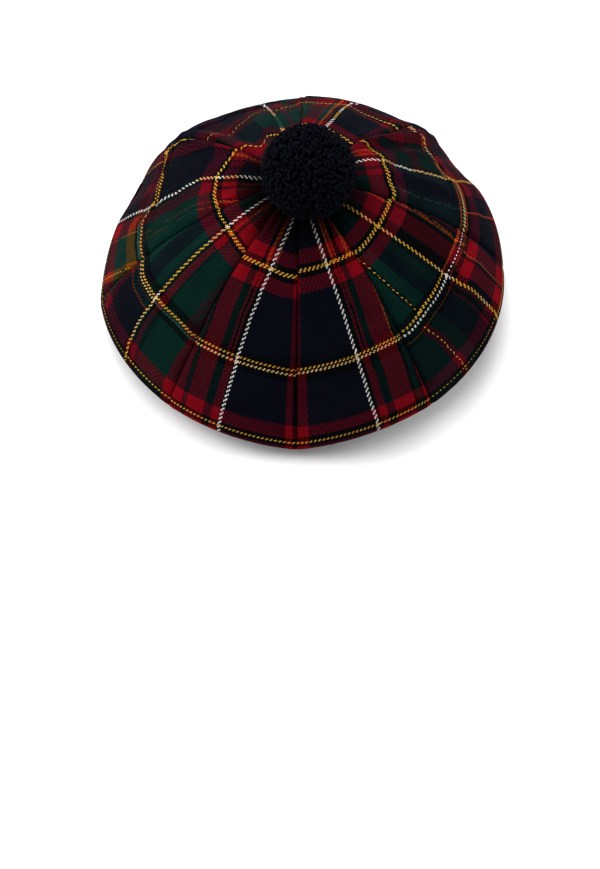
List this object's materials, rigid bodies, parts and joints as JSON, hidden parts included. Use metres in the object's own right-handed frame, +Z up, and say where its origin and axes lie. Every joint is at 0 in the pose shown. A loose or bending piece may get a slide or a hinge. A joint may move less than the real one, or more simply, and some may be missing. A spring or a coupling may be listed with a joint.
{
  "type": "tam o'shanter",
  "caption": "Full round wool bonnet of tartan gores that swell out over an oval headband, with a cut-yarn pompom on top; worn on the head.",
  "frame": {"origin": "on the surface that the hat rests on, under the middle of its outline", "axes": "+Z up through the crown, -Y towards the back of the hat, +X to the right of someone behind it"},
  "size_m": [0.2874, 0.286, 0.1835],
  "materials": {
    "tartan": "2/2 twill wool tartan in scarlet, bottle green and navy with white and yellow lines, matt",
    "band": "plain navy wool cloth, matt",
    "yarn": "dense cut wool yarn in near-black navy"
  },
  "bodies": {
    "root": {"crown_gore_1": "tartan", "crown_gore_2": "tartan", "crown_gore_3": "tartan", "crown_gore_4": "tartan", "crown_gore_5": "tartan", "crown_gore_6": "tartan", "crown_gore_7": "tartan", "crown_gore_8": "tartan", "headband": "band", "pompom": "yarn"}
  },
  "joints": []
}
